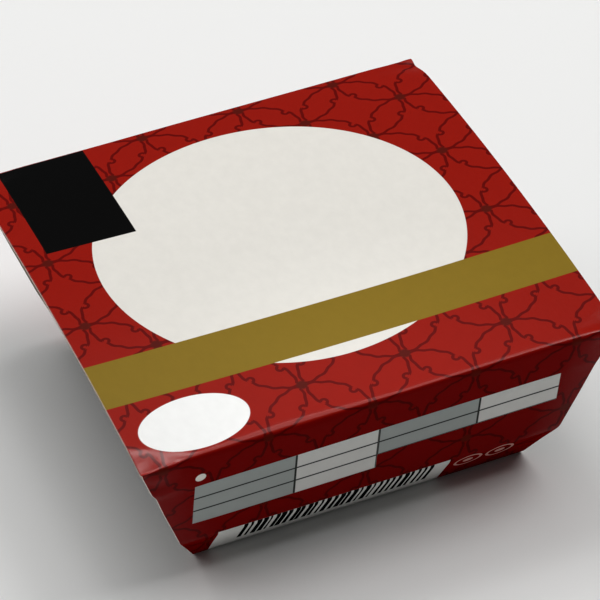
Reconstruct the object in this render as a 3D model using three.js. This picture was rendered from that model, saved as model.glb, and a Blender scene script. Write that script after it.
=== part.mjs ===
// A shut ready-meal pack: a folded paperboard sleeve round a sealed, tapered tray of sticky rice with eel.
// Millimetres, +Z up. The origin is at the middle of the underside, the folds run along X, and the front
// of the pack faces -Y. The tray is one solid, because nothing inside it can be seen.
import * as THREE from "three";

// The sleeve, with its sizes taken on the outside of the board, to its corners before rounding
const sleeveWidth = 90; // from cut edge to cut edge, along the folds
const sleeveDepth = 88.9; // from the front fold to the back fold
const foldHeight = 35.6; // the folds above the floor
const crownRise = 1.7; // the top panel bulges this far above its folds
const boardThickness = 0.5;
const creaseDrop = 25.6; // the crease of the front and back panels, below the fold
const creaseSetback = 6.0; // and in from the fold
const bottomSetback = 12.9; // the bottom edge, in from the fold
const frontCreaseTrim = 8.1; // the cut edge at the front crease, in from the end of the top panel
const backCreaseTrim = 8.6; // and at the back crease
const bottomTrim = 12.6; // and at the bottom edges
const foldReach = 1.2; // a rounded fold starts this far from its corner
const creaseReach = 1.2;
const roundingSteps = 3;
const marginPlaces = [2.2, 4.2, 6.6]; // distances from the fold at which the top panel's margin bends
const crownSteps = 5; // from the margin to the middle of the top panel

// The corners of the top panel are pressed down. The dent is deepest at the cut edge, just inside the
// fold, and the stiffer fold sinks by a share of it, while the cut edge is pulled in. The panel below
// gives way at a short crush line.
const pressedCorners = {
  frontLeft: { dent: 1.0, foldShare: 0.55, pull: 0.2 },
  frontRight: { dent: 0.5, foldShare: 0.5, pull: 0.1 },
  backLeft: { dent: 0.6, foldShare: 0.5, pull: 0.15 },
  backRight: { dent: 0.9, foldShare: 0.25, pull: 0.5 },
};
const dentPlace = 2.2; // from the fold to the deepest place
const dentAcrossTop = 6.6; // from the fold to the dent's end
const dentAlongFold = 12; // from the cut edge to the dent's end
const crushDrop = 7.9; // the crush line below the fold
const crushReach = 3; // above and below it the panel is still bent
const buckle = 0.6; // how far the panel stands out there, for each millimetre that the fold sinks

// Places across the sleeve, as shares of its half width, closer together towards the cut edges
const acrossShares = [0, 0.25, 0.5, 0.68, 0.78, 0.86, 0.93, 1];

// The tray, which the sleeve holds at its rim, at the crease and on its base
const clearance = 0.3; // between the tray and the board
const rimDrop = 1.6; // the top of the rim below the folds
const rimThickness = 1.0;
const rimLength = 84.8; // along X
const rimDepth = 85.0; // along Y
const rimCornerRadius = 13;
const rimLip = 2.5; // how far the rim stands out from the wall
const wallCornerRadius = 10.5;
const baseCornerRadius = 8.5;
const endRecess = 2.0; // the end walls stay this far inside the cut edges
const filmRise = 2.4; // the lidding film bulges this far over the filling
const filmRings = 4;
const cornerSteps = 6;
const sideSteps = 6;

const halfWidth = sleeveWidth / 2;
const halfDepth = sleeveDepth / 2;
const bottomHalfDepth = halfDepth - bottomSetback;
const creaseHeight = foldHeight - creaseDrop;

// Draws a line to a corner and round it: the curve starts and ends the given reach away from the corner
function roundCorner(path, from, corner, to, reach) {
  const start = from.clone().sub(corner).setLength(reach).add(corner);
  const end = to.clone().sub(corner).setLength(reach).add(corner);
  path.lineTo(start.x, start.y);
  path.quadraticCurveTo(corner.x, corner.y, end.x, end.y);
}

const crownHeight = (y) => foldHeight + crownRise * (1 - (y / halfDepth) ** 2);

// Half of the sleeve's outline in the Y-Z plane: the base, the back panel and the top to its middle
function backHalfOfOutline() {
  const base = new THREE.Vector2(0, 0);
  const bottom = new THREE.Vector2(bottomHalfDepth, 0);
  const crease = new THREE.Vector2(halfDepth - creaseSetback, creaseHeight);
  const fold = new THREE.Vector2(halfDepth, foldHeight);
  const margin = new THREE.Vector2(halfDepth - marginPlaces[0], crownHeight(halfDepth - marginPlaces[0]));
  const path = new THREE.Path();
  path.moveTo(base.x, base.y);
  roundCorner(path, base, bottom, crease, foldReach);
  roundCorner(path, bottom, crease, fold, creaseReach);
  for (const drop of [crushDrop + crushReach, crushDrop, crushDrop - crushReach]) {
    const place = fold.clone().lerp(crease, drop / creaseDrop);
    path.lineTo(place.x, place.y);
  }
  roundCorner(path, crease, fold, margin, foldReach);
  const curvePoints = (curve) => curve.getPoints(curve.isLineCurve ? 1 : roundingSteps).slice(0, -1);
  const points = path.curves.flatMap(curvePoints);
  points.push(path.currentPoint.clone());
  for (const place of marginPlaces) {
    points.push(new THREE.Vector2(halfDepth - place, crownHeight(halfDepth - place)));
  }
  const marginEnd = halfDepth - marginPlaces.at(-1);
  for (let i = 1; i <= crownSteps; i += 1) {
    const y = marginEnd * (1 - i / crownSteps);
    points.push(new THREE.Vector2(y, crownHeight(y)));
  }
  return points;
}

// The closed outline, counter-clockwise from the middle of the base, seen with +Y to the right
function sleeveOutline() {
  const back = backHalfOfOutline();
  const front = back.slice(1, -1).reverse().map((point) => new THREE.Vector2(-point.x, point.y));
  return [...back, ...front];
}

// The outline moved inward by a distance, so that each of its lines stays parallel
function insetOutline(outline, distance) {
  return outline.map((point, i) => {
    const before = outline.at(i - 1);
    const after = outline[(i + 1) % outline.length];
    const inwardBefore = new THREE.Vector2(before.y - point.y, point.x - before.x).normalize();
    const inwardAfter = new THREE.Vector2(point.y - after.y, after.x - point.x).normalize();
    const inward = inwardBefore.clone().add(inwardAfter).normalize();
    return point.clone().addScaledVector(inward, distance / inward.dot(inwardBefore));
  });
}

// Half the length of the sleeve at a place: full over the folds, and shorter below, as the ends taper
function cutHalfWidth(y, height) {
  const creaseTrim = y < 0 ? frontCreaseTrim : backCreaseTrim;
  const drop = THREE.MathUtils.clamp(foldHeight - height, 0, foldHeight);
  if (drop < creaseDrop) {
    return halfWidth - (creaseTrim * drop) / creaseDrop;
  }
  return halfWidth - THREE.MathUtils.mapLinear(drop, creaseDrop, foldHeight, creaseTrim, bottomTrim);
}

// How a pressed corner moves a place of the board
function cornerShift(x, y, z) {
  const { dent, foldShare, pull } = pressedCorners[(y < 0 ? "front" : "back") + (x < 0 ? "Left" : "Right")];
  const fromEnd = (cutHalfWidth(y, z) - Math.abs(x)) / dentAlongFold;
  const fromFold = Math.max(0, halfDepth - Math.abs(y));
  const drop = Math.max(0, foldHeight - z);
  if (drop < foldReach) {
    const beyondDent = Math.max(0, fromFold - dentPlace) / (dentAcrossTop - dentPlace);
    const stiffness = THREE.MathUtils.lerp(foldShare, 1, Math.min(1, fromFold / dentPlace));
    const pressing = Math.max(0, 1 - fromEnd - beyondDent);
    return new THREE.Vector3(-Math.sign(x) * pull * pressing, 0, -dent * stiffness * pressing);
  }
  const foldSink = dent * foldShare * Math.max(0, 1 - fromEnd);
  const aboveCrush = 1 - THREE.MathUtils.smoothstep(drop, crushDrop - crushReach, crushDrop + crushReach);
  const atCrush = Math.max(0, 1 - Math.abs(drop - crushDrop) / crushReach);
  return new THREE.Vector3(0, Math.sign(y) * buckle * foldSink * atCrush, -foldSink * aboveCrush);
}

function closedGeometry(positions, indices) {
  const geometry = new THREE.BufferGeometry();
  geometry.setAttribute("position", new THREE.Float32BufferAttribute(positions, 3));
  geometry.setIndex(indices);
  geometry.computeVertexNormals();
  return geometry;
}

// The board as one closed band: an outer and an inner skin, joined along the two cut edges
function sleeveGeometry() {
  const outer = sleeveOutline();
  const inner = insetOutline(outer, boardThickness);
  const shares = [...acrossShares.slice(1).reverse().map((share) => -share), ...acrossShares];
  const positions = [];
  for (const outline of [outer, inner]) {
    for (const share of shares) {
      outer.forEach(({ x: y, y: z }, i) => {
        const x = share * cutHalfWidth(y, z);
        const shift = cornerShift(x, y, z);
        positions.push(x + shift.x, outline[i].x + shift.y, outline[i].y + shift.z);
      });
    }
  }
  const around = outer.length;
  const inside = shares.length * around;
  const lastRow = inside - around;
  const indices = [];
  const quad = (a, b, c, d) => indices.push(a, b, c, a, c, d);
  for (let j = 0; j < around; j += 1) {
    const next = (j + 1) % around;
    for (let row = 0; row < lastRow; row += around) {
      quad(row + j, row + next, row + around + next, row + around + j);
      quad(inside + row + j, inside + row + around + j, inside + row + around + next, inside + row + next);
    }
    quad(j, inside + j, inside + next, next);
    quad(lastRow + j, lastRow + next, inside + lastRow + next, inside + lastRow + j);
  }
  return closedGeometry(positions, indices);
}

// A ring of points on a rectangle with round corners, counter-clockwise seen from above
function roundedRing(halfX, halfY, radius, height) {
  const [flatX, flatY] = [halfX - radius, halfY - radius];
  const centres = [[flatX, flatY], [-flatX, flatY], [-flatX, -flatY], [flatX, -flatY]];
  const arcs = centres.map(([x, y], quarter) => {
    const start = (quarter * Math.PI) / 2;
    return new THREE.EllipseCurve(x, y, radius, radius, start, start + Math.PI / 2).getPoints(cornerSteps);
  });
  return arcs.flatMap((arc, quarter) => {
    const side = new THREE.LineCurve(arc.at(-1), arcs[(quarter + 1) % arcs.length][0]);
    const between = side.getPoints(sideSteps).slice(1, -1);
    return [...arc, ...between].map(({ x, y }) => new THREE.Vector3(x, y, height));
  });
}

// A closed body through a stack of rings, with a point closing each end
function loftedGeometry(rings, bottomPoint, topPoint) {
  const around = rings[0].length;
  const positions = [...rings.flat(), bottomPoint, topPoint].flatMap((point) => point.toArray());
  const bottom = rings.length * around;
  const top = bottom + 1;
  const lastRow = bottom - around;
  const indices = [];
  for (let j = 0; j < around; j += 1) {
    const next = (j + 1) % around;
    for (let row = 0; row < lastRow; row += around) {
      indices.push(row + j, row + next, row + around + next);
      indices.push(row + j, row + around + next, row + around + j);
    }
    indices.push(next, j, bottom);
    indices.push(lastRow + j, lastRow + next, top);
  }
  return closedGeometry(positions, indices);
}

// The sealed tray: base, chamfer, wall, rim, and the film that bulges over the filling
function trayGeometry() {
  const boardAndGap = boardThickness + clearance;
  const baseHeight = boardAndGap;
  const rimTop = foldHeight - rimDrop;
  const rimUnder = rimTop - rimThickness;
  const baseX = cutHalfWidth(0, 0) - endRecess;
  const baseY = bottomHalfDepth - 2 * boardAndGap;
  const wallX = cutHalfWidth(0, creaseHeight) - endRecess;
  const wallY = halfDepth - creaseSetback - 1.5 * boardAndGap;
  const [rimX, rimY] = [rimLength / 2, rimDepth / 2];
  const [filmX, filmY] = [rimX - rimLip, rimY - rimLip];
  const rings = [
    roundedRing(baseX, baseY, baseCornerRadius, baseHeight),
    roundedRing(wallX, wallY, wallCornerRadius, creaseHeight + boardAndGap),
    roundedRing(filmX, filmY, wallCornerRadius, rimUnder),
    roundedRing(rimX, rimY, rimCornerRadius, rimUnder),
    roundedRing(rimX, rimY, rimCornerRadius, rimTop),
  ];
  for (let i = 0; i < filmRings; i += 1) {
    const size = 1 - i / filmRings;
    const height = rimTop + filmRise * (1 - size ** 2);
    rings.push(roundedRing(filmX * size, filmY * size, wallCornerRadius * size, height));
  }
  const bottomPoint = new THREE.Vector3(0, 0, baseHeight);
  const topPoint = new THREE.Vector3(0, 0, rimTop + filmRise);
  return loftedGeometry(rings, bottomPoint, topPoint);
}

function namedMesh(name, geometry, material) {
  const mesh = new THREE.Mesh(geometry, material);
  mesh.name = name;
  return mesh;
}

const printedBoard = new THREE.MeshStandardMaterial({ color: 0xa01a15, roughness: 0.38, metalness: 0 });
const trayPlastic = new THREE.MeshStandardMaterial({ color: 0x1d1c1b, roughness: 0.45, metalness: 0 });

const pack = new THREE.Group();
pack.add(namedMesh("sleeve", sleeveGeometry(), printedBoard));
pack.add(namedMesh("tray", trayGeometry(), trayPlastic));

export default pack;
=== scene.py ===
# A shut ready-meal pack: a printed paperboard sleeve round a sealed tray, standing on a pale floor.
# Shapes are worked out in millimetres in the frame's axes, and their meshes are stored in metres.
# The front of the pack faces -Y, and the folds of the sleeve run along X.
import math

import bpy
import numpy as np
from mathutils import Matrix, Vector, noise


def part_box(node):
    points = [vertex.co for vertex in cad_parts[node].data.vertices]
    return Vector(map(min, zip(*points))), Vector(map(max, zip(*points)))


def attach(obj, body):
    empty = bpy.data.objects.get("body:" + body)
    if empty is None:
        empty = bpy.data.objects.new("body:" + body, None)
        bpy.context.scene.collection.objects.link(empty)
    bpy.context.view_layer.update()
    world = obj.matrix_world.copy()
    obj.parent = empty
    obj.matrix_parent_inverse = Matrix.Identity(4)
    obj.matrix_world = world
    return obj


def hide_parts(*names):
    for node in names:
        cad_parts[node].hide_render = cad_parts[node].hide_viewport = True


MM = 0.001

# The sleeve's outline, to its corners before rounding
SLEEVE_DEPTH = 88.9
FOLD_HEIGHT = 35.6
CROWN_RISE = 1.7
BOARD = 0.5
CREASE_DROP = 25.6
CREASE_SETBACK = 6.0
BOTTOM_SETBACK = 12.9
FRONT_CREASE_TRIM = 8.1
BACK_CREASE_TRIM = 8.6
BOTTOM_TRIM = 12.6
HALF_DEPTH = SLEEVE_DEPTH / 2
BOTTOM_HALF_DEPTH = HALF_DEPTH - BOTTOM_SETBACK
PANEL_LENGTH = math.hypot(CREASE_SETBACK, CREASE_DROP)
BEVEL_LENGTH = math.hypot(BOTTOM_SETBACK - CREASE_SETBACK, FOLD_HEIGHT - CREASE_DROP)

# The materials of the sleeve's skins, and how far the cut edges are rounded off
PRINTED, BARE, CUT = 0, 1, 2
EDGE_ROUND = 0.14

# A bend of more degrees than this is shaded as a sharp edge
SHARP_ANGLE = 38

# Rounding: how far from its corner each rounded fold starts. The front fold is softest left of its middle.
BACK_FOLD_REACH = 0.7
FRONT_FOLD_REACH = 1.1
SOFT_FOLD_REACH = 2.1
SOFT_FOLD_PLACE = -17.0
SOFT_FOLD_SPREAD = 22.0
BOTTOM_REACH = 1.0
CREASE_REACH = 1.2

# The glued lap on the base: the front's flap ends here, on the outside of the back's
SEAM_PLACE = 8.0
SEAM_STEP = 0.25
SEAM_FADE = 6.0

# How finely the sleeve's mesh is divided. The base has a finer stretch beside the seam, and the stations
# crowd towards the folds and the cut edges, the more the lower their evenness.
SEAM_STEPS = 5
SEAM_SHARE = 0.15
BASE_STEPS = 13
BOTTOM_STEPS = 6
BEVEL_STEPS = 8
CREASE_STEPS = 8
PANEL_STEPS = 42
FOLD_STEPS = 12
TOP_STEPS = 78
TOP_EVENNESS = 0.6
ACROSS_STEPS = 112
ACROSS_EVENNESS = 0.5

# Pressed corners: the deepest dent of the top panel, the share of it by which the fold itself sinks, how
# far the cut edge is drawn in, where the dent is deepest and where it ends, and how soft its rim is
PRESSED = {
    "front_left": {"dent": 1.0, "fold_share": 0.55, "pull": 0.2, "place": 0.9, "end": 7.0, "soft": 0.18},
    "front_right": {"dent": 0.5, "fold_share": 0.5, "pull": 0.1, "place": 2.0, "end": 7.0, "soft": 0.3},
    "back_left": {"dent": 0.6, "fold_share": 0.5, "pull": 0.15, "place": 2.0, "end": 7.0, "soft": 0.3},
    "back_right": {"dent": 0.9, "fold_share": 0.25, "pull": 0.5, "place": 2.4, "end": 8.0, "soft": 0.6},
}
DENT_ALONG_FOLD = 11.5
DENT_BELOW_FOLD = 1.5 * FRONT_FOLD_REACH

# The panels below the pressed corners give way at a short crush line: they stand out there, and their cut
# edge steps in, by shares of the fold's sinking
CRUSH_SOFTNESS = 0.18
CRUSH_DROP = 7.9
CRUSH_REACH = 2.4
BUCKLE = 0.6
STEP_IN = 0.4
STEP_HEIGHT = 1.4
STEP_FADE = 8.0

# The board crumples a little where it is pressed: the height is for each millimetre of the dent
CRUMPLE_HEIGHT = 0.42
CRUMPLE_LENGTH = 3.2

# The front fold hangs a little towards its left end
FOLD_SAG = 0.5
SAG_START = 36.0
SAG_END = -24.0
SAG_REACH = 34.0

# How far the board departs from its flat form: a slow waviness, and panels whose ends lean in. The lean
# sets in over a short height below the folds and above the floor.
WAVE_HEIGHT = 0.12
WAVE_LENGTH = 26.0
NOISE_PLACE = 3.7
END_LEAN = 0.35
END_LEAN_REACH = 11.0
END_LEAN_SOFTNESS = 0.8
LEAN_BELOW_FOLD = 4.0
LEAN_ABOVE_FLOOR = 6.0

# The tray, which the sleeve holds at its rim
CLEARANCE = 0.3
RIM_DROP = 1.6
RIM_LENGTH = 84.8
RIM_DEPTH = 85.0
RIM_CORNER_RADIUS = 13.0
RIM_LIP = 2.5
RIM_THICKNESS = 1.0
WALL_CORNER_RADIUS = 10.5
BASE_CORNER_RADIUS = 8.5
END_RECESS = 2.0

# The tray's small forms: its rounded foot, the soft knee where the wall steepens, the shoulder on which
# empty trays stack, the lip turned down round the rim, and the rounding of its edges
FOOT_ROUND = 1.2
FOOT_HEIGHT = 0.9
KNEE_ROUND = 0.4
KNEE_BELOW = 0.9
KNEE_ABOVE = 0.6
SHOULDER_DROP = 3.6
SHOULDER_HEIGHT = 0.6
SHOULDER_INSET = 0.9
NECK_INSET = 0.2
NECK_FLARE = 0.3
LIP_THICKNESS = 0.4
LIP_ROUND = 0.1
TRAY_ROUND = 0.25

# How finely each corner and each side of the tray's outlines are divided
RING_CORNER_STEPS = 10
RING_SIDE_STEPS = 10

# The lidding film, which is sealed a little inside the rim's edge
FILM_RISE = 2.4
FILM_THICKNESS = 0.08
FILM_MARGIN = 0.35
FILM_SEAT = 0.01
FILM_RINGS = 22
FILM_SMALLEST = 0.04


def smoothstep(low, high, value):
    share = np.clip((value - low) / (high - low), 0, 1)
    return share * share * (3 - 2 * share)


def soft_ramp(value, width):
    """The value where it is above zero and nothing below, with a rounded start of the given width."""
    share = np.clip(value / width, 0, 1)
    return np.where(value < width, width * share * share / 2, value - width / 2)


def even_shares(start, end, steps):
    """Evenly spaced values from the start up to the last one before the end."""
    return np.linspace(start, end, steps + 1)[:-1]


def crowded_places(steps, evenness):
    """Values from -1 to 1 that crowd towards both ends, the more the lower the evenness."""
    spread = np.linspace(-1, 1, steps + 1)
    return evenness * spread + (1 - evenness) * np.sin(spread * np.pi / 2)


def srgb(red, green, blue):
    """A colour on the usual 0 to 255 scale as the linear values that shaders use."""
    scaled = [value / 255 for value in (red, green, blue)]
    linear = [v / 12.92 if v <= 0.04045 else ((v + 0.055) / 1.055) ** 2.4 for v in scaled]
    return (*linear, 1)


def make_object(name, points, faces, materials, face_materials=None):
    """A smooth-shaded object from points in millimetres."""
    mesh = bpy.data.meshes.new(name)
    mesh.from_pydata((np.asarray(points) * MM).tolist(), [], faces)
    for material in materials:
        mesh.materials.append(material)
    if face_materials is not None:
        mesh.polygons.foreach_set("material_index", face_materials)
    mesh.polygons.foreach_set("use_smooth", [True] * len(mesh.polygons))
    mesh.set_sharp_from_angle(angle=math.radians(SHARP_ANGLE))
    mesh.validate()
    piece = bpy.data.objects.new(name, mesh)
    bpy.context.collection.objects.link(piece)
    return piece


def crown_height(y):
    return FOLD_HEIGHT + CROWN_RISE * (1 - (y / HALF_DEPTH) ** 2)


def cut_half_width(y, height, half_width):
    """Half the length of the sleeve at a place: full over the folds, shorter below, as the ends taper."""
    drops = [0, CREASE_DROP, FOLD_HEIGHT]
    front = np.interp(FOLD_HEIGHT - height, drops, [0, FRONT_CREASE_TRIM, BOTTOM_TRIM])
    back = np.interp(FOLD_HEIGHT - height, drops, [0, BACK_CREASE_TRIM, BOTTOM_TRIM])
    return half_width - np.where(np.less(y, 0), front, back)


def line_stations(start, end, shares):
    return [start + (end - start) * share for share in shares]


def corner_stations(start, corner, end, steps):
    """A quadratic curve round a corner. The distance on the flat sheet goes on evenly."""
    stations = []
    for share in even_shares(0, 1, steps):
        curve = (1 - share) ** 2 * start + 2 * share * (1 - share) * corner + share**2 * end
        curve[2] = start[2] + (end[2] - start[2]) * share
        stations.append(curve)
    return stations


def towards(corner, other, reach):
    """The place at a distance from the corner on the way to another one."""
    way = other - corner
    return corner + way * (reach / np.hypot(way[0], way[1]))


def side_stations(sign, fold_reach):
    """The stations of the front (sign -1) or the back (sign 1), from the seam to the top panel's edge."""

    def place(y, z, v):
        return np.array([np.full_like(fold_reach, value) for value in (sign * y, z, sign * v)])

    crease_v = HALF_DEPTH + PANEL_LENGTH
    bottom_v = crease_v + BEVEL_LENGTH
    seam = place(sign * SEAM_PLACE, 0, bottom_v + BOTTOM_HALF_DEPTH - sign * SEAM_PLACE)
    bottom = place(BOTTOM_HALF_DEPTH, 0, bottom_v)
    crease = place(HALF_DEPTH - CREASE_SETBACK, FOLD_HEIGHT - CREASE_DROP, crease_v)
    fold = place(HALF_DEPTH, FOLD_HEIGHT, HALF_DEPTH)
    top_start = sign * (HALF_DEPTH - fold_reach)
    top = np.array([top_start, crown_height(top_start), top_start])
    base_shares = [*even_shares(0, SEAM_SHARE, SEAM_STEPS), *even_shares(SEAM_SHARE, 1, BASE_STEPS)]
    bends = [
        (seam, bottom, crease, BOTTOM_REACH, base_shares, BOTTOM_STEPS),
        (bottom, crease, fold, CREASE_REACH, even_shares(0, 1, BEVEL_STEPS), CREASE_STEPS),
    ]
    stations = []
    start = seam
    for before, corner, after, reach, flat_shares, bend_steps in bends:
        bend_start = towards(corner, before, reach)
        bend_end = towards(corner, after, reach)
        stations += line_stations(start, bend_start, flat_shares)
        stations += corner_stations(bend_start, corner, bend_end, bend_steps)
        start = bend_end
    bend_start = towards(fold, crease, fold_reach)
    stations += line_stations(start, bend_start, even_shares(0, 1, PANEL_STEPS))
    stations += corner_stations(bend_start, fold, top, FOLD_STEPS)
    stations.append(top)
    return stations


def band_outline(front_reach):
    """The sleeve's outer outline from the seam, up the front, over the top and down the back to the seam.

    Each station is (y, z, v) for every column, where v is the distance from the middle of the top panel
    on the flat sheet, negative towards the front.
    """
    front = side_stations(-1, front_reach)
    back = side_stations(1, np.full_like(front_reach, BACK_FOLD_REACH))
    top_shares = 0.5 + 0.5 * crowded_places(TOP_STEPS, TOP_EVENNESS)[1:-1]
    top = line_stations(front[-1], back[-1], top_shares)
    for station in top:
        station[1] = crown_height(station[0])
    return np.array(front + top + back[::-1])


def sleeve_grid(half_width):
    """The sleeve before its board is bent: x, y, z, v and the cut edge's x, row by row round the band.

    The outermost columns lie on the cut edges, and their neighbours where those begin to round off.
    """
    shares = crowded_places(ACROSS_STEPS, ACROSS_EVENNESS)
    soft = np.clip(1 - np.abs(shares * half_width - SOFT_FOLD_PLACE) / SOFT_FOLD_SPREAD, 0, 1)
    front_reach = FRONT_FOLD_REACH + (SOFT_FOLD_REACH - FRONT_FOLD_REACH) * smoothstep(0, 1, soft)
    outline = band_outline(front_reach)
    y, z, v = outline[:, 0], outline[:, 1], outline[:, 2]
    cut = cut_half_width(y, z, half_width)
    x = np.concatenate([-cut[:, :1], shares * (cut - EDGE_ROUND), cut[:, -1:]], axis=1)
    y, z, v, cut = (np.concatenate([a[:, :1], a, a[:, -1:]], axis=1) for a in (y, z, v, cut))
    return x, y, z, v, cut


def corner_shift(x, y, z, half_width):
    """How the pressed corners move the board, and how hard each place is pressed."""
    from_end = (cut_half_width(y, z, half_width) - np.abs(x)) / DENT_ALONG_FOLD
    from_fold = np.maximum(0, HALF_DEPTH - np.abs(y))
    drop = np.maximum(0, FOLD_HEIGHT - z)
    fade = smoothstep(0, DENT_BELOW_FOLD, drop)
    below_crush = smoothstep(CRUSH_DROP - STEP_HEIGHT, CRUSH_DROP + STEP_HEIGHT, drop)
    at_crush = soft_ramp(1 - np.abs(drop - CRUSH_DROP) / CRUSH_REACH, CRUSH_SOFTNESS)
    step_share = below_crush * (1 - smoothstep(CRUSH_DROP, CRUSH_DROP + STEP_FADE, drop))
    shift = np.zeros((*x.shape, 3))
    pressure = np.zeros(x.shape)
    for corner, pressed in PRESSED.items():
        here = ((y < 0) == corner.startswith("front")) & ((x < 0) == corner.endswith("left"))
        share = pressed["fold_share"]
        beyond = np.maximum(0, from_fold - pressed["place"]) / (pressed["end"] - pressed["place"])
        stiffness = share + (1 - share) * smoothstep(0, pressed["place"], from_fold)
        top_pressing = soft_ramp(1 - from_end - beyond, pressed["soft"])
        fold_pressing = soft_ramp(1 - from_end, pressed["soft"])
        top_sink = pressed["dent"] * stiffness * top_pressing
        fold_sink = pressed["dent"] * share * fold_pressing
        sink = (1 - fade) * top_sink + fade * fold_sink * (1 - below_crush)
        drawn_in = pressed["pull"] * top_pressing * (1 - fade) + STEP_IN * fold_sink * step_share
        shift[here, 0] = (-np.sign(x) * drawn_in)[here]
        shift[here, 1] = (np.sign(y) * BUCKLE * fold_sink * at_crush)[here]
        shift[here, 2] = -sink[here]
        pressing = (1 - fade) * top_pressing + fade * fold_pressing * (1 - below_crush)
        pressure[here] = (pressed["dent"] * pressing)[here]
    return shift, pressure


def fold_sag(x, v, z):
    """How far the front fold hangs, fading over the top panel and down to the crease."""
    along = 1 - smoothstep(SAG_END, SAG_START, x)
    over_top = 1 - (v + HALF_DEPTH) / SAG_REACH
    down_front = 1 - (FOLD_HEIGHT - z) / CREASE_DROP
    return FOLD_SAG * along * smoothstep(0, 1, np.where(v > -HALF_DEPTH, over_top, down_front))


def sheet_noise(x, v, length):
    """Smooth random heights over the flat sheet, whose bumps are about as wide as the length."""
    places = [Vector((a / length, b / length, NOISE_PLACE)) for a, b in zip(x.flat, v.flat)]
    return np.array([noise.noise(place) for place in places]).reshape(x.shape)


def wave_height(x, v, z):
    """A slow unevenness of the board, which fades out towards the base that the pack stands on."""
    return WAVE_HEIGHT * sheet_noise(x, v, WAVE_LENGTH) * smoothstep(0, CREASE_DROP / 2, z)


def grid_normals(points):
    """Outward unit normals of a grid. Its first index runs round the band and its second along X."""
    along = np.gradient(points, axis=1)
    round_the_band = np.empty_like(points)
    round_the_band[1:-1] = points[2:] - points[:-2]
    round_the_band[0] = points[1] - points[0]
    round_the_band[-1] = points[-1] - points[-2]
    normals = np.cross(along, round_the_band)
    return normals / np.linalg.norm(normals, axis=2, keepdims=True)


def sleeve_skins(x, y, z, v, cut, half_width):
    """The outer and the inner face of the board, with its lap, leaning ends, dents and unevenness."""
    below_fold = smoothstep(0, LEAN_BELOW_FOLD, np.maximum(0, FOLD_HEIGHT - z))
    on_panel = below_fold * smoothstep(0, LEAN_ABOVE_FLOOR, z)
    near_end = soft_ramp(1 - (cut - np.abs(x)) / END_LEAN_REACH, END_LEAN_SOFTNESS)
    lean = -np.sign(y) * END_LEAN * near_end * on_panel
    under_back = v > HALF_DEPTH + PANEL_LENGTH + BEVEL_LENGTH
    lap = SEAM_STEP * under_back * (1 - smoothstep(SEAM_PLACE, SEAM_PLACE + SEAM_FADE, y))
    outer = np.stack([x, y + lean, z + lap - fold_sag(x, v, z)], axis=2)
    shift, pressure = corner_shift(x, y, z, half_width)
    outer += shift
    unevenness = wave_height(x, v, z) + CRUMPLE_HEIGHT * pressure * sheet_noise(x, v, CRUMPLE_LENGTH)
    outer += grid_normals(outer) * unevenness[..., None]
    inner = outer - grid_normals(outer) * BOARD
    rounded = EDGE_ROUND * (cut - np.abs(x) < EDGE_ROUND / 2)
    outer -= grid_normals(outer) * rounded[..., None]
    return outer, inner


def band_faces(around, across):
    """The faces of both skins and of the cut edges that join them, and the material of each.

    The outer skin's points come first, row by row, and then the inner skin's in the same order.
    """
    inside = around * across
    faces = []
    kinds = []

    def quad(kind, *corners):
        faces.append(corners)
        kinds.append(kind)

    for i in range(around):
        after = (i + 1) % around
        outer_kind = CUT if after == 0 else PRINTED
        inner_kind = CUT if after == 0 else BARE
        for j in range(across - 1):
            a, b, c, d = i * across + j, i * across + j + 1, after * across + j + 1, after * across + j
            quad(outer_kind, a, b, c, d)
            quad(inner_kind, inside + a, inside + d, inside + c, inside + b)
        first, last = i * across, i * across + across - 1
        next_first, next_last = after * across, after * across + across - 1
        quad(CUT, first, next_first, inside + next_first, inside + first)
        quad(CUT, last, inside + last, inside + next_last, next_last)
    return faces, kinds


def make_sleeve(materials):
    """The folded board: a printed outer skin, a bare inner skin, and the pale cut edges between them.

    Its attribute "sheet" tells the print where each point lies: x and v on the flat sheet, and the
    distance from the nearer cut edge.
    """
    low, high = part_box("sleeve")
    half_width = (high.x - low.x) / 2 / MM
    x, y, z, v, cut = sleeve_grid(half_width)
    outer, inner = sleeve_skins(x, y, z, v, cut, half_width)
    points = np.concatenate([outer.reshape(-1, 3), inner.reshape(-1, 3)])
    faces, kinds = band_faces(*x.shape)
    piece = make_object("sleeve_board", points, faces, materials, kinds)
    sheet = np.stack([x, v, cut - np.abs(x)], axis=2).reshape(-1, 3)
    attribute = piece.data.attributes.new("sheet", "FLOAT_VECTOR", "POINT")
    attribute.data.foreach_set("vector", np.concatenate([sheet, sheet]).astype(np.float32).ravel())
    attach(piece, "root")
    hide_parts("sleeve")
    return piece


def rounded_ring(half_x, half_y, radius, height):
    """Points on a round-cornered rectangle, counter-clockwise from above, the same number every time."""
    flat_x, flat_y = half_x - radius, half_y - radius
    centres = [(flat_x, flat_y), (-flat_x, flat_y), (-flat_x, -flat_y), (flat_x, -flat_y)]
    ring = []
    for quarter, (x, y) in enumerate(centres):
        for angle in np.linspace(quarter, quarter + 1, RING_CORNER_STEPS + 1) * math.pi / 2:
            ring.append((x + radius * math.cos(angle), y + radius * math.sin(angle), height))
        next_x, next_y = centres[(quarter + 1) % 4]
        turn = (quarter + 1) * math.pi / 2
        start = np.array(ring[-1])
        end = np.array([next_x + radius * math.cos(turn), next_y + radius * math.sin(turn), height])
        for share in np.linspace(0, 1, RING_SIDE_STEPS + 1)[1:-1]:
            ring.append(tuple(start + (end - start) * share))
    return ring


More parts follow.
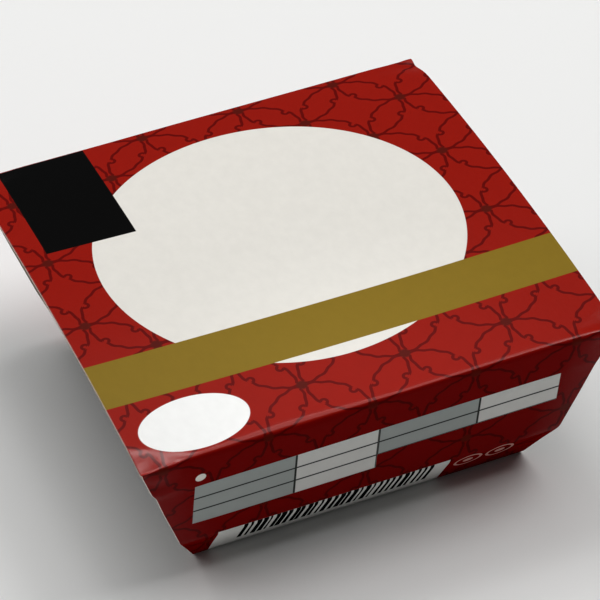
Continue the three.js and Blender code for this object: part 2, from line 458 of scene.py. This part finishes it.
def lofted(name, rings, material):
    """A closed body through a stack of rings, with a point closing each end."""
    around = len(rings[0])
    points = [point for ring in rings for point in ring]
    points += [np.mean(rings[0], axis=0), np.mean(rings[-1], axis=0)]
    bottom, top = len(points) - 2, len(points) - 1
    last = (len(rings) - 1) * around
    faces = []
    for j in range(around):
        after = (j + 1) % around
        for row in range(0, last, around):
            faces.append((row + j, row + after, row + around + after, row + around + j))
        faces.append((after, j, bottom))
        faces.append((last + j, last + after, top))
    piece = make_object(name, points, faces, [material])
    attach(piece, "root")
    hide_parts("tray")
    return piece


def make_tray(material):
    """The sealed tray: base, chamfer, tapered wall, and a flat rim with a turned-down lip."""
    low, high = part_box("sleeve")
    half_width = (high.x - low.x) / 2 / MM
    crease_height = FOLD_HEIGHT - CREASE_DROP
    gap = BOARD + CLEARANCE
    knee = crease_height + gap
    rim_top = FOLD_HEIGHT - RIM_DROP
    rim_edge = rim_top - RIM_THICKNESS
    under_rim = rim_top - RIM_THICKNESS / 2
    base_x = cut_half_width(0, 0, half_width) - END_RECESS
    wall_x = cut_half_width(0, crease_height, half_width) - END_RECESS
    rim_x, rim_y = RIM_LENGTH / 2, RIM_DEPTH / 2
    # The leaning panels take up more of the depth than the gap measures across them
    base = (base_x, BOTTOM_HALF_DEPTH - 2 * gap, BASE_CORNER_RADIUS)
    wall = (wall_x, HALF_DEPTH - CREASE_SETBACK - 1.5 * gap, WALL_CORNER_RADIUS)
    neck = (rim_x - RIM_LIP, rim_y - RIM_LIP, WALL_CORNER_RADIUS)
    rim = (rim_x, rim_y, RIM_CORNER_RADIUS)
    inner_lip = LIP_THICKNESS + LIP_ROUND
    # Each level: the outline that it follows, how far it and its corner radius are drawn in, its height
    levels = [
        (base, FOOT_ROUND, FOOT_ROUND, gap),
        (base, FOOT_ROUND / 4, FOOT_ROUND / 4, gap + TRAY_ROUND),
        (base, 0, 0, gap + FOOT_HEIGHT),
        (wall, KNEE_ROUND, KNEE_ROUND / 2, knee - KNEE_BELOW),
        (wall, 0, 0, knee + KNEE_ABOVE),
        (neck, SHOULDER_INSET, 0, rim_top - SHOULDER_DROP - SHOULDER_HEIGHT),
        (neck, NECK_INSET, 0, rim_top - SHOULDER_DROP),
        (neck, 0, 0, under_rim - TRAY_ROUND),
        (neck, -NECK_FLARE, -NECK_FLARE, under_rim),
        (rim, inner_lip, inner_lip, under_rim),
        (rim, LIP_THICKNESS, LIP_THICKNESS, rim_edge),
        (rim, 0, 0, rim_edge),
        (rim, 0, 0, rim_top - TRAY_ROUND),
        (rim, TRAY_ROUND, TRAY_ROUND, rim_top),
        (neck, 0, 0, rim_top),
    ]
    rings = []
    for (half_x, half_y, radius), inset, tighter, height in levels:
        rings.append(rounded_ring(half_x - inset, half_y - inset, radius - tighter, height))
    return lofted("tray_body", rings, material)


def make_film(material):
    """The lidding film, sealed to the rim and bulging over the filling."""
    rim_top = FOLD_HEIGHT - RIM_DROP
    edge_x, edge_y = RIM_LENGTH / 2 - FILM_MARGIN, RIM_DEPTH / 2 - FILM_MARGIN
    edge_radius = RIM_CORNER_RADIUS - FILM_MARGIN
    free_x, free_y = RIM_LENGTH / 2 - RIM_LIP, RIM_DEPTH / 2 - RIM_LIP
    rings = []
    for lift in (FILM_SEAT, FILM_THICKNESS):
        rings.append(rounded_ring(edge_x, edge_y, edge_radius, rim_top + lift))
    for size in np.linspace(1, FILM_SMALLEST, FILM_RINGS):
        height = rim_top + FILM_THICKNESS + FILM_RISE * (1 - size**2)
        rings.append(rounded_ring(free_x * size, free_y * size, WALL_CORNER_RADIUS * size, height))
    return lofted("tray_film", rings, material)


# A printed edge blurs this far to each side, in millimetres, and most of a noise lies in this range
INK_BLUR = 0.06
NOISE_RANGE = (0.3, 0.7)


class Shader:
    """A material whose nodes are written as nested calls. A value may be a number, a colour or a socket."""

    def __init__(self, name):
        self.material = bpy.data.materials.new(name)
        self.material.use_nodes = True
        self.tree = self.material.node_tree
        self.surface = self.tree.nodes["Principled BSDF"]

    def connect(self, socket, value):
        if isinstance(value, bpy.types.NodeSocket):
            self.tree.links.new(value, socket)
        else:
            socket.default_value = value

    def finish(self, **inputs):
        """Gives the surface its inputs and returns the material. A name's underscores stand for spaces."""
        for name, value in inputs.items():
            self.connect(self.surface.inputs[name.replace("_", " ")], value)
        return self.material

    def add(self, kind, inputs, **settings):
        node = self.tree.nodes.new(kind)
        for name, value in settings.items():
            setattr(node, name, value)
        for name, value in inputs.items():
            self.connect(node.inputs[name], value)
        return node

    def object_place(self):
        return self.add("ShaderNodeTexCoord", {}).outputs["Object"]

    def math(self, operation, *values):
        return self.add("ShaderNodeMath", dict(enumerate(values)), operation=operation).outputs[0]

    def minus(self, a, b):
        return self.math("SUBTRACT", a, b)

    def times(self, a, b):
        return self.math("MULTIPLY", a, b)

    def either(self, a, b):
        return self.math("MAXIMUM", a, b)

    def size_of(self, a):
        return self.math("ABSOLUTE", a)

    def outside(self, a):
        return self.minus(1.0, a)

    def above(self, value, edge, blur=INK_BLUR):
        """1 where the value is above the edge, 0 below it, with a soft step between."""
        inputs = {"Value": value, "From Min": edge - blur, "From Max": edge + blur}
        return self.add("ShaderNodeMapRange", inputs, interpolation_type="SMOOTHSTEP").outputs[0]

    def below(self, value, edge, blur=INK_BLUR):
        return self.outside(self.above(value, edge, blur))

    def between(self, value, low, high, blur=INK_BLUR):
        return self.minus(self.above(value, low, blur), self.above(value, high, blur))

    def distance(self, x, v, centre_x, centre_v):
        offset_x = self.minus(x, centre_x)
        offset_v = self.minus(v, centre_v)
        squares = self.math("ADD", self.times(offset_x, offset_x), self.times(offset_v, offset_v))
        return self.math("SQRT", squares)

    def ellipse(self, x, v, centre, radii):
        """0 in the middle of an ellipse and 1 on its edge."""
        across = self.math("DIVIDE", self.minus(x, centre[0]), radii[0])
        along = self.math("DIVIDE", self.minus(v, centre[1]), radii[1])
        return self.distance(across, along, 0.0, 0.0)

    def blend(self, share, under, over):
        """Goes from one colour to the other. Several sockets share a name, so these go by their numbers."""
        node = self.add("ShaderNodeMix", {0: share, 6: under, 7: over}, data_type="RGBA")
        return node.outputs[2]

    def noise(self, vector, scale, detail=2.0, roughness=0.5):
        """Smooth noise, whose scale is for each millimetre of the flat sheet or each metre of an object."""
        inputs = {"Vector": vector, "Scale": scale, "Detail": detail, "Roughness": roughness}
        return self.add("ShaderNodeTexNoise", inputs).outputs[0]

    def remap(self, value, low, high, new_low, new_high):
        inputs = {"Value": value, "From Min": low, "From Max": high, "To Min": new_low, "To Max": new_high}
        return self.add("ShaderNodeMapRange", inputs).outputs[0]

    def stretched(self, noise_value, low, high):
        """A noise that runs over the given range."""
        return self.remap(noise_value, *NOISE_RANGE, low, high)

    def bump(self, height, strength, depth):
        """A normal from a height, with its depth in millimetres."""
        inputs = {"Height": height, "Strength": strength, "Distance": depth * MM}
        return self.add("ShaderNodeBump", inputs).outputs[0]


# The inks
RED = srgb(156, 29, 15)
# Painted shade: the side panels' red is a darker copy of the top's red
PAINTED_SHADE_SIDE_RED = srgb(125, 8, 6)
LATTICE_RED = srgb(110, 8, 4)
# Painted shade: the side panels' lattice red is a darker copy of the top's lattice red
PAINTED_SHADE_SIDE_LATTICE_RED = srgb(92, 6, 5)
HUB_BROWN = srgb(98, 24, 14)
OFF_WHITE = srgb(236, 233, 226)
WHITE = srgb(252, 252, 250)
CELL_WHITE = srgb(216, 216, 213)
BLACK = srgb(3, 3, 3)
GOLD = srgb(144, 120, 41)
LABEL_GREY = srgb(169, 174, 172)
LINE_GREY = srgb(62, 64, 62)
MARK_PINK = srgb(196, 150, 142)
PAPER = srgb(238, 226, 217)

# The other surfaces: the sleeve's inside and its cut edges, with the share to which their fibres darken
# them, and the two shades between which the tray, the film and the floor are clouded
BARE_BOARD = srgb(206, 199, 188)
CUT_EDGE = srgb(192, 172, 158)
FIBRE_SHADE = 0.86
TRAY_BLACKS = (srgb(24, 23, 22), srgb(34, 32, 31))
FILM_WHITES = (srgb(214, 212, 204), srgb(230, 229, 223))
FLOOR_WHITES = (srgb(231, 231, 230), srgb(234, 234, 233))

# The print on the top panel, in millimetres on the flat sheet: x along the folds, v from the middle of the
# top panel. The black panel's lower edge is tilted, and the gold band bows towards the front.
DISC_CENTRE = (-0.1, 2.35)
DISC_RADIUS = 34.0
PANEL_EDGES = (-40.1, -23.05)
PANEL_BOTTOM = 15.5
PANEL_TOP = 43.9
PANEL_TILT = -0.045
BAND_EDGES = (-28.9, -17.6)
BAND_BOW = 1.0
BAND_BOW_PLACE = 12.0
BAND_BOW_REACH = 57.7
OVAL_CENTRE = (-32.1, -36.6)
OVAL_RADII = (10.05, 6.28)
OVAL_BLUR = 0.01

# The print on the front panel, below its fold
FOLD_V = -44.3
SIDE_BLUR = 0.5
DOT_PLACE = (-33.8, FOLD_V - 6.6)
DOT_RADIUS = 1.0
TABLE_COLUMNS = (-34.8, -15.7, 0.0, 19.3, 34.95)
TABLE_TOP = FOLD_V - 9.15
ROW_HEIGHT = 3.87
ROWS_LEFT = 3
ROWS_RIGHT = 2
ROW_RULE = 0.38
ROW_RULE_BLUR = 0.05
RULE_CLEARANCE = 0.5
COLUMN_RULE = 0.4
BARS_PATCH = (-29.7, 15.1)
PATCH_BOTTOM = FOLD_V - 46.6
BARS_SPAN = (-25.0, 12.2)
BARS_TOP = FOLD_V - 26.0
BARS_BOTTOM = FOLD_V - 34.9
BAR_PITCH = 1.24
BAR_WIDTHS = (0.4, 1.1)
BAR_DRIFT = 0.36
BAR_BLUR = 0.04
MARK_PLACES = (19.3, 25.6)
MARK_V = -73.9
MARK_RADIUS = 2.8
MARK_LINE = 0.55
MARK_DOT = 1.0

# How far the ink stays off the left and the right cut edge, and how much farther on the side panels
INK_MARGINS = (0.02, 0.06)
SIDE_INK_MARGIN = 0.1
INK_MARGIN_BLUR = 0.05

# Painted light: the top's print is painted lighter near the front middle and darker away from it, as light
# falls there, and all ink is slightly mottled
PAINTED_LIGHT_CENTRE = (0.0, -42.0)
PAINTED_LIGHT_REACH = (60.0, 48.0)
PAINTED_LIGHT_SHADES = (1.06, 0.905)
MOTTLE_SHADES = (0.98, 1.02)

# The coating: its gloss on the top, on the side panels and at their cut edges, and its roughness
TOP_GLOSS = 0.34
SIDE_GLOSS = 0.012
END_GLOSS = 0.07
END_GLOSS_WIDTH = 8.0
BEVEL_BLUR = 1.0
PRINT_ROUGHNESS = (0.16, 0.22)

# The lattice, whose hubs lie at every second crossing of a square grid of this pitch
LATTICE_ORIGIN = (7.89, 42.43)
LATTICE_PITCH = 9.75
LINE_WIDTH = 0.57

# The lattice's arcs, in pitches: they are drawn in where they leave a hub, and they waver by hand
ARC_RADIUS = 0.998
ARC_PULL = 0.068
ARC_PULL_END = 0.36
WAVER_HEIGHT = 0.011
WAVER_RATE = 21.8
WAVER_START = 15.4
EAR_ANGLE = math.radians(33.8)
EAR_REACH = 0.965
EAR_RADIUS = 0.062
HUB_RADIUS = 0.105
LINE_BLUR = 0.006
HUB_BLUR = 0.03


def lattice_masks(shader, x, v):
    """Interlocking wavering circles as thin lines. Each arc between two hubs has one small round ear.

    A cell of the grid is mirrored into its neighbours and folded along its diagonal, so that one arc, round
    a corner of the cell, stands for all.
    """
    pitches_x = shader.math("DIVIDE", shader.minus(x, LATTICE_ORIGIN[0]), LATTICE_PITCH)
    pitches_v = shader.math("DIVIDE", shader.minus(v, LATTICE_ORIGIN[1]), LATTICE_PITCH)
    u = shader.math("PINGPONG", pitches_x, 1.0)
    w = shader.math("PINGPONG", pitches_v, 1.0)
    flip = shader.math("GREATER_THAN", u, w)
    turned_u = shader.size_of(shader.minus(flip, u))
    turned_w = shader.size_of(shader.minus(flip, w))
    half_line = LINE_WIDTH / 2 / LATTICE_PITCH
    angle = shader.math("ARCTAN2", turned_w, shader.outside(turned_u))
    pull = shader.remap(angle, 0.0, ARC_PULL_END, ARC_PULL, 0.0)
    waver = shader.math("SINE", shader.minus(shader.times(angle, WAVER_RATE), WAVER_START))
    radius = shader.minus(shader.math("MULTIPLY_ADD", waver, WAVER_HEIGHT, ARC_RADIUS), pull)
    off_arc = shader.minus(shader.distance(turned_u, turned_w, 1.0, 0.0), radius)
    ear_u, ear_w = 1 - EAR_REACH * math.cos(EAR_ANGLE), EAR_REACH * math.sin(EAR_ANGLE)
    from_ear = shader.distance(turned_u, turned_w, ear_u, ear_w)
    off_ear = shader.size_of(shader.minus(from_ear, EAR_RADIUS))
    on_arc = shader.below(shader.size_of(off_arc), half_line, LINE_BLUR)
    on_ear = shader.below(off_ear, half_line, LINE_BLUR)
    clear_of_ear = shader.above(from_ear, EAR_RADIUS, LINE_BLUR)
    inside_arc = shader.below(off_arc, 0.0, LINE_BLUR)
    lines = shader.either(shader.times(on_arc, clear_of_ear), shader.times(on_ear, inside_arc))
    near_hub = shader.math("MINIMUM", shader.distance(u, w, 0.0, 0.0), shader.distance(u, w, 1.0, 1.0))
    return lines, shader.below(near_hub, HUB_RADIUS, HUB_BLUR)


def table_masks(shader, x, v):
    """Cells, the paler value cells among them, and the rules between them."""
    left, label_end, middle, right_label_end, right = TABLE_COLUMNS
    left_bottom = TABLE_TOP - ROWS_LEFT * ROW_HEIGHT
    right_bottom = TABLE_TOP - ROWS_RIGHT * ROW_HEIGHT
    left_half = shader.times(shader.between(x, left, middle), shader.between(v, left_bottom, TABLE_TOP))
    right_half = shader.times(shader.between(x, middle, right), shader.between(v, right_bottom, TABLE_TOP))
    cells = shader.either(left_half, right_half)
    values = shader.either(shader.between(x, label_end, middle), shader.between(x, right_label_end, right))
    from_rule = shader.math("PINGPONG", shader.minus(TABLE_TOP, v), ROW_HEIGHT / 2)
    rules = shader.below(from_rule, ROW_RULE / 2, ROW_RULE_BLUR)
    rules = shader.times(rules, shader.between(v, left_bottom + RULE_CLEARANCE, TABLE_TOP - RULE_CLEARANCE))
    for place in (label_end, middle, right_label_end):
        rules = shader.either(rules, shader.between(x, place - COLUMN_RULE / 2, place + COLUMN_RULE / 2))
    return cells, shader.times(cells, values), shader.times(cells, rules)


def bars_masks(shader, x, v):
    """A pale patch with upright bars of uneven width, which stand for nothing."""
    patch = shader.times(shader.between(x, *BARS_PATCH), shader.between(v, PATCH_BOTTOM, BARS_TOP))
    place = shader.math("DIVIDE", shader.minus(x, BARS_SPAN[0]), BAR_PITCH)
    number = shader.math("FLOOR", place)
    chance = shader.add("ShaderNodeTexWhiteNoise", {"W": number}, noise_dimensions="1D").outputs
    drift = shader.add("ShaderNodeSeparateColor", {"Color": chance["Color"]}).outputs["Blue"]
    middle = shader.remap(drift, 0.0, 1.0, (BAR_PITCH - BAR_DRIFT) / 2, (BAR_PITCH + BAR_DRIFT) / 2)
    half_width = shader.remap(chance["Value"], 0.0, 1.0, BAR_WIDTHS[0] / 2, BAR_WIDTHS[1] / 2)
    within = shader.times(shader.minus(place, number), BAR_PITCH)
    off_middle = shader.size_of(shader.minus(within, middle))
    bars = shader.above(shader.minus(half_width, off_middle), 0.0, BAR_BLUR)
    bars = shader.times(bars, shader.between(x, *BARS_SPAN))
    return patch, shader.times(bars, shader.between(v, BARS_BOTTOM, BARS_TOP))


def mark_mask(shader, x, v):
    """Two plain rings with a dot in each, where small print stands beside the bars."""
    marks = 0.0
    for place in MARK_PLACES:
        from_middle = shader.distance(x, v, place, MARK_V)
        ring = shader.between(from_middle, MARK_RADIUS - MARK_LINE, MARK_RADIUS)
        dot = shader.below(from_middle, MARK_DOT)
        marks = shader.either(marks, shader.either(ring, dot))
    return marks


def plain_fields(shader, x, v):
    """The fields of plain colour where the pack is lettered, each with its ink, from the lowest up."""
    disc = shader.below(shader.distance(x, v, *DISC_CENTRE), DISC_RADIUS)
    tilted = shader.math("MULTIPLY_ADD", shader.minus(x, sum(PANEL_EDGES) / 2), -PANEL_TILT, v)
    panel = shader.times(shader.between(x, *PANEL_EDGES), shader.above(tilted, PANEL_BOTTOM))
    panel = shader.times(panel, shader.below(v, PANEL_TOP))
    along_bow = shader.math("DIVIDE", shader.minus(x, BAND_BOW_PLACE), BAND_BOW_REACH)
    bowed = shader.math("MULTIPLY_ADD", shader.times(along_bow, along_bow), -BAND_BOW, v)
    oval = shader.below(shader.ellipse(x, v, OVAL_CENTRE, OVAL_RADII), 1.0, OVAL_BLUR)
    dot = shader.below(shader.distance(x, v, *DOT_PLACE), DOT_RADIUS)
    cells, values, rules = table_masks(shader, x, v)
    patch, bars = bars_masks(shader, x, v)
    return [
        (disc, OFF_WHITE),
        (panel, BLACK),
        (shader.between(bowed, *BAND_EDGES), GOLD),
        (oval, WHITE),
        (dot, OFF_WHITE),
        (cells, LABEL_GREY),
        (values, CELL_WHITE),
        (rules, LINE_GREY),
        (patch, CELL_WHITE),
        (bars, BLACK),
        (mark_mask(shader, x, v), MARK_PINK),
    ]


def ink_mottle_and_painted_light(shader, sheet, x, v, on_side):
    """What the inks are multiplied by: a slight mottle, and painted light on the top panel, lighter near
    its front.
    """
    mottle = shader.noise(sheet, scale=0.35, detail=4.0, roughness=0.6)
    # Painted light: the top panel grows lighter towards the middle of its front fold
    away = shader.above(shader.ellipse(x, v, PAINTED_LIGHT_CENTRE, PAINTED_LIGHT_REACH), 0.5, blur=0.5)
    painted_light = shader.remap(away, 0.0, 1.0, *PAINTED_LIGHT_SHADES)
    painted_light = shader.remap(on_side, 0.0, 1.0, painted_light, 1.0)
    return shader.times(shader.stretched(mottle, *MOTTLE_SHADES), painted_light)


def coating_gloss(shader, v, from_edge, on_side):
    """The top reflects most. The side panels hardly do, apart from their ends above the crease."""
    on_bevel = shader.above(shader.size_of(v), HALF_DEPTH + PANEL_LENGTH, BEVEL_BLUR)
    side_gloss = shader.remap(from_edge, 0.0, END_GLOSS_WIDTH, END_GLOSS, SIDE_GLOSS)
    side_gloss = shader.times(side_gloss, shader.outside(on_bevel))
    return shader.remap(on_side, 0.0, 1.0, TOP_GLOSS, side_gloss)


def printed_material():
    """Dark red gloss ink with a lattice, plain fields of colour over it, and bare paper at its rims."""
    shader = Shader("printed_board")
    sheet = shader.add("ShaderNodeAttribute", {}, attribute_name="sheet").outputs["Vector"]
    axes = shader.add("ShaderNodeSeparateXYZ", {"Vector": sheet}).outputs
    x, v, from_edge = axes["X"], axes["Y"], axes["Z"]
    on_side = shader.above(shader.size_of(v), -FOLD_V, SIDE_BLUR)
    lines, hubs = lattice_masks(shader, x, v)
    # The side panels take the darker reds, which are painted shade below the folds
    colour = shader.blend(on_side, RED, PAINTED_SHADE_SIDE_RED)
    colour = shader.blend(lines, colour, shader.blend(on_side, LATTICE_RED, PAINTED_SHADE_SIDE_LATTICE_RED))
    colour = shader.blend(hubs, colour, HUB_BROWN)
    for mask, ink in plain_fields(shader, x, v):
        colour = shader.blend(mask, colour, ink)
    margin = shader.remap(x, -1.0, 1.0, *INK_MARGINS)
    margin = shader.math("MULTIPLY_ADD", on_side, SIDE_INK_MARGIN, margin)
    bare_rim = shader.below(shader.minus(from_edge, margin), 0.0, INK_MARGIN_BLUR)
    colour = shader.blend(bare_rim, colour, PAPER)
    mottle_and_painted_light = ink_mottle_and_painted_light(shader, sheet, x, v, on_side)
    shaded = shader.add("ShaderNodeVectorMath", {0: colour, 1: mottle_and_painted_light}, operation="MULTIPLY").outputs[0]
    grain = shader.noise(sheet, scale=6.0, detail=3.0, roughness=0.6)
    swell = shader.noise(sheet, scale=1.1)
    return shader.finish(
        Base_Color=shaded,
        Roughness=shader.stretched(grain, *PRINT_ROUGHNESS),
        Normal=shader.bump(shader.math("MULTIPLY_ADD", swell, 2.0, grain), strength=0.08, depth=0.1),
        Specular_IOR_Level=coating_gloss(shader, v, from_edge, on_side),
    )


def bare_material(name, colour, roughness):
    """Uncoated board: a matt surface of fine fibres."""
    shader = Shader(name)
    place = shader.object_place()
    fibres = shader.noise(place, scale=2500.0, detail=4.0, roughness=0.7)
    clouds = shader.noise(place, scale=90.0)
    mottle = shader.math("MULTIPLY_ADD", shader.minus(fibres, 0.5), 0.5, clouds)
    darker = tuple(value * FIBRE_SHADE for value in colour[:3]) + (1,)
    return shader.finish(
        Base_Color=shader.blend(shader.stretched(mottle, 0.0, 1.0), darker, colour),
        Roughness=roughness,
        Normal=shader.bump(fibres, strength=0.25, depth=0.1),
        Specular_IOR_Level=0.25,
    )


def tray_material():
    """Thin black polypropylene with a soft sheen."""
    shader = Shader("tray_plastic")
    place = shader.object_place()
    clouds = shader.noise(place, scale=60.0, detail=3.0)
    grain = shader.noise(place, scale=1400.0)
    return shader.finish(
        Base_Color=shader.blend(clouds, *TRAY_BLACKS),
        Roughness=shader.stretched(grain, 0.36, 0.5),
        Normal=shader.bump(grain, strength=0.08, depth=0.1),
    )


def film_material():
    """A milky lidding film, glossier than the tray, with faint slack wrinkles."""
    shader = Shader("lidding_film")
    wrinkles = shader.noise(shader.object_place(), scale=110.0, detail=3.0)
    return shader.finish(
        Base_Color=shader.blend(wrinkles, *FILM_WHITES),
        Roughness=shader.stretched(wrinkles, 0.18, 0.3),
        Normal=shader.bump(wrinkles, strength=0.3, depth=0.4),
    )


def floor_material():
    """A pale matt surface, hardly clouded."""
    shader = Shader("pale_floor")
    clouds = shader.noise(shader.object_place(), scale=4.0)
    return shader.finish(
        Base_Color=shader.blend(clouds, *FLOOR_WHITES),
        Roughness=0.8,
        Specular_IOR_Level=0.1,
    )


# The floor: half its side, in metres, and how far it stays below the base, in millimetres
FLOOR_REACH = 1.6
FLOOR_GAP = 0.02


def make_floor():
    """A plain pale floor, which isn't part of the object."""
    rim = [(-FLOOR_REACH, -FLOOR_REACH, 0), (FLOOR_REACH, -FLOOR_REACH, 0)]
    rim += [(FLOOR_REACH, FLOOR_REACH, 0), (-FLOOR_REACH, FLOOR_REACH, 0)]
    mesh = bpy.data.meshes.new("floor")
    mesh.from_pydata(rim, [], [(0, 1, 2, 3)])
    mesh.materials.append(floor_material())
    floor = bpy.data.objects.new("floor", mesh)
    bpy.context.collection.objects.link(floor)
    floor.location.z = -FLOOR_GAP * MM


# The photograph's view: where the camera stands, from the middle of the pack at the height of the folds,
# its angles in degrees, and its lens and film
CAMERA_PLACE = (-187.5, -495.4, 429.3)
CAMERA_AZIMUTH = -20.974
CAMERA_ELEVATION = 39.781
CAMERA_ROLL = -2.665
CAMERA_LENS = 225.95
FILM_WIDTH = 36


def make_camera():
    """The camera of the photograph, which looks down on the pack from its front left."""
    data = bpy.data.cameras.new("camera")
    data.lens = CAMERA_LENS
    data.sensor_width = FILM_WIDTH
    camera = bpy.data.objects.new("camera", data)
    bpy.context.collection.objects.link(camera)
    camera.location = (Vector(CAMERA_PLACE) + Vector((0, 0, FOLD_HEIGHT))) * MM
    turn = Matrix.Rotation(math.radians(CAMERA_AZIMUTH), 4, "Z")
    tip = Matrix.Rotation(math.radians(90 - CAMERA_ELEVATION), 4, "X")
    roll = Matrix.Rotation(math.radians(CAMERA_ROLL), 4, "Z")
    camera.rotation_euler = (turn @ tip @ roll).to_euler()
    bpy.context.scene.camera = camera


# The studio: how far away the lights stand, in metres, and how bright the surroundings and the backdrop
# are. Each light has its azimuth, its elevation, its spread and its radiance.
LIGHT_DISTANCE = 1.5
AMBIENT = 0.095
BACKGROUND = 0.74
LIGHTS = {
    "back_softbox": (-21, 57, 11, 4.2),
    "middle_softbox": (14, 69, 6, 6.0),
    "sheen_softbox": (20, 55, 12, 0.25),
    "right_softbox": (100, 55, 15, 3.6),
    "top_softbox": (86, 74, 24, 1.5),
    "low_softbox": (-31, 26, 27, 1.5),
}


def make_light(name, azimuth, elevation, spread, radiance):
    """A round soft light that shines on the pack from far enough to seem even.

    Azimuth 0 stands behind the pack and 90 to its right. The spread is the angle from the light's middle
    to its rim, as seen from the pack, and the radiance says how bright its face is.
    """
    radius = LIGHT_DISTANCE * math.tan(math.radians(spread))
    data = bpy.data.lights.new(name, "AREA")
    data.shape = "DISK"
    data.size = 2 * radius
    # The power of an evenly bright face is its radiance times pi times its area
    data.energy = radiance * math.pi * math.pi * radius**2
    light = bpy.data.objects.new(name, data)
    bpy.context.collection.objects.link(light)
    a, e = math.radians(azimuth), math.radians(elevation)
    out = Vector((math.sin(a) * math.cos(e), math.cos(a) * math.cos(e), math.sin(e)))
    light.location = out * LIGHT_DISTANCE
    light.rotation_euler = out.to_track_quat("Z", "Y").to_euler()
    light.visible_camera = False


def make_studio():
    """The lights, dim even light from all round, and a backdrop that only the camera sees as bright."""
    for name, light in LIGHTS.items():
        make_light(name, *light)
    world = bpy.data.worlds.new("studio")
    world.use_nodes = True
    tree = world.node_tree
    seen = tree.nodes.new("ShaderNodeLightPath").outputs["Is Camera Ray"]
    strength = tree.nodes.new("ShaderNodeMapRange")
    strength.inputs["To Min"].default_value = AMBIENT
    strength.inputs["To Max"].default_value = BACKGROUND
    tree.links.new(seen, strength.inputs["Value"])
    tree.links.new(strength.outputs[0], tree.nodes["Background"].inputs["Strength"])
    tree.nodes["Background"].inputs["Color"].default_value = (1, 1, 1, 1)
    bpy.context.scene.world = world
    bpy.context.scene.view_settings.view_transform = "Standard"
    bpy.context.scene.view_settings.look = "Medium High Contrast"


def corners(box):
    return [list(corner) for corner in box]


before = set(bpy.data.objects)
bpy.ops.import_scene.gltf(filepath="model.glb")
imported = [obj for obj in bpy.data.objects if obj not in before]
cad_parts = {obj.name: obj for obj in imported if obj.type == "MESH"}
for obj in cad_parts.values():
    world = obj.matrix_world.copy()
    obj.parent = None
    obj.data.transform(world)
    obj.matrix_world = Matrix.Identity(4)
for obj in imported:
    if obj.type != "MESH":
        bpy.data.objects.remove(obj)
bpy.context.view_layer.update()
bare_board = bare_material("bare_board", BARE_BOARD, roughness=0.8)
cut_edge = bare_material("cut_edge", CUT_EDGE, roughness=0.85)
make_sleeve([printed_material(), bare_board, cut_edge])
make_tray(tray_material())
make_film(film_material())
make_floor()
make_camera()
make_studio()
